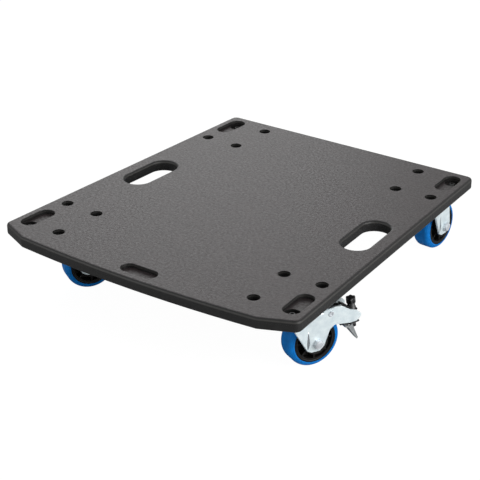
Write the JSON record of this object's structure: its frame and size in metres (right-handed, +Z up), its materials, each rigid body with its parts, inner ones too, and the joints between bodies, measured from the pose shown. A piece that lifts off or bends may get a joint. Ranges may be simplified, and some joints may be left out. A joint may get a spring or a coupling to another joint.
{
  "type": "caster board",
  "caption": "Flat transport board for cases: tapered panel with a bowed front, hand holes and locating pockets, on swivel casters with foot brakes at the front",
  "frame": {"origin": "middle of the footprint, on the floor", "axes": "+X to the right, +Y from the bowed front to the rear, +Z up"},
  "size_m": [0.5278, 0.5908, 0.12],
  "materials": {
    "board": "textured black coating on birch plywood",
    "screws": "black oxide button-head screws",
    "zinc": "bright zinc-plated pressed steel",
    "steel": "turned and plated steel",
    "tyre": "smooth blue elastic rubber",
    "hub": "moulded black polyamide",
    "black_steel": "black coated steel"
  },
  "bodies": {
    "deck": {"board": "board", "board_face": "board", "deck_screws": "screws", "deck_nuts": "steel", "top_plate_fr": "zinc", "kingpin_fr": "steel", "top_plate_fl": "zinc", "kingpin_fl": "steel", "top_plate_rr": "zinc", "kingpin_rr": "steel", "top_plate_rl": "zinc", "kingpin_rl": "steel"},
    "swivel_fr": {"fork_fr": "zinc", "swivel_race_fr": "steel", "swivel_balls_fr": "steel", "axle_bolt_fr": "steel", "axle_nut_fr": "steel", "axle_sleeve_fr": "steel", "brake_rivets_fr": "steel"},
    "wheel_fr": {"tyre_fr": "tyre", "hub_fr": "hub", "wheel_bearings_fr": "steel"},
    "brake_fr": {"brake_lever_fr": "black_steel", "brake_screw_fr": "black_steel", "brake_leaf_fr": "black_steel", "release_tongue_fr": "zinc"},
    "swivel_fl": {"fork_fl": "zinc", "swivel_race_fl": "steel", "swivel_balls_fl": "steel", "axle_bolt_fl": "steel", "axle_nut_fl": "steel", "axle_sleeve_fl": "steel", "brake_rivets_fl": "steel"},
    "wheel_fl": {"tyre_fl": "tyre", "hub_fl": "hub", "wheel_bearings_fl": "steel"},
    "brake_fl": {"brake_lever_fl": "black_steel", "brake_screw_fl": "black_steel", "brake_leaf_fl": "black_steel", "release_tongue_fl": "zinc"},
    "swivel_rr": {"fork_rr": "zinc", "swivel_race_rr": "steel", "swivel_balls_rr": "steel", "axle_bolt_rr": "steel", "axle_nut_rr": "steel", "axle_sleeve_rr": "steel"},
    "wheel_rr": {"tyre_rr": "tyre", "hub_rr": "hub", "wheel_bearings_rr": "steel"},
    "swivel_rl": {"fork_rl": "zinc", "swivel_race_rl": "steel", "swivel_balls_rl": "steel", "axle_bolt_rl": "steel", "axle_nut_rl": "steel", "axle_sleeve_rl": "steel"},
    "wheel_rl": {"tyre_rl": "tyre", "hub_rl": "hub", "wheel_bearings_rl": "steel"}
  },
  "joints": [
    {"name": "swivel_fr", "type": "hinge", "parent": "deck", "child": "swivel_fr", "pos_m": [0.19712, -0.19994, 0.0855], "axis": [0, 0, 1], "continuous": true},
    {"name": "roll_fr", "type": "hinge", "parent": "swivel_fr", "child": "wheel_fr", "pos_m": [0.21296, -0.16817, 0.04], "axis": [-0.8949, 0.4462, 0], "continuous": true},
    {"name": "brake_fr", "type": "hinge", "parent": "swivel_fr", "child": "brake_fr", "pos_m": [0.22189, -0.15027, 0.0815], "axis": [-0.8949, 0.4462, 0], "range_deg": [0, 8]},
    {"name": "swivel_fl", "type": "hinge", "parent": "deck", "child": "swivel_fl", "pos_m": [-0.20562, -0.19994, 0.0855], "axis": [0, 0, 1], "continuous": true},
    {"name": "roll_fl", "type": "hinge", "parent": "swivel_fl", "child": "wheel_fl", "pos_m": [-0.18733, -0.16951, 0.04], "axis": [-0.8572, 0.515, 0], "continuous": true},
    {"name": "brake_fl", "type": "hinge", "parent": "swivel_fl", "child": "brake_fl", "pos_m": [-0.17703, -0.15237, 0.0815], "axis": [-0.8572, 0.515, 0], "range_deg": [0, 8]},
    {"name": "swivel_rr", "type": "hinge", "parent": "deck", "child": "swivel_rr", "pos_m": [0.17657, 0.21956, 0.0855], "axis": [0, 0, 1], "continuous": true},
    {"name": "roll_rr", "type": "hinge", "parent": "swivel_rr", "child": "wheel_rr", "pos_m": [0.17935, 0.25495, 0.04], "axis": [-0.9969, 0.0785, 0], "continuous": true},
    {"name": "swivel_rl", "type": "hinge", "parent": "deck", "child": "swivel_rl", "pos_m": [-0.18506, 0.21956, 0.0855], "axis": [0, 0, 1], "continuous": true},
    {"name": "roll_rl", "type": "hinge", "parent": "swivel_rl", "child": "wheel_rl", "pos_m": [-0.17647, 0.25401, 0.04], "axis": [-0.9703, 0.2419, 0], "continuous": true}
  ]
}
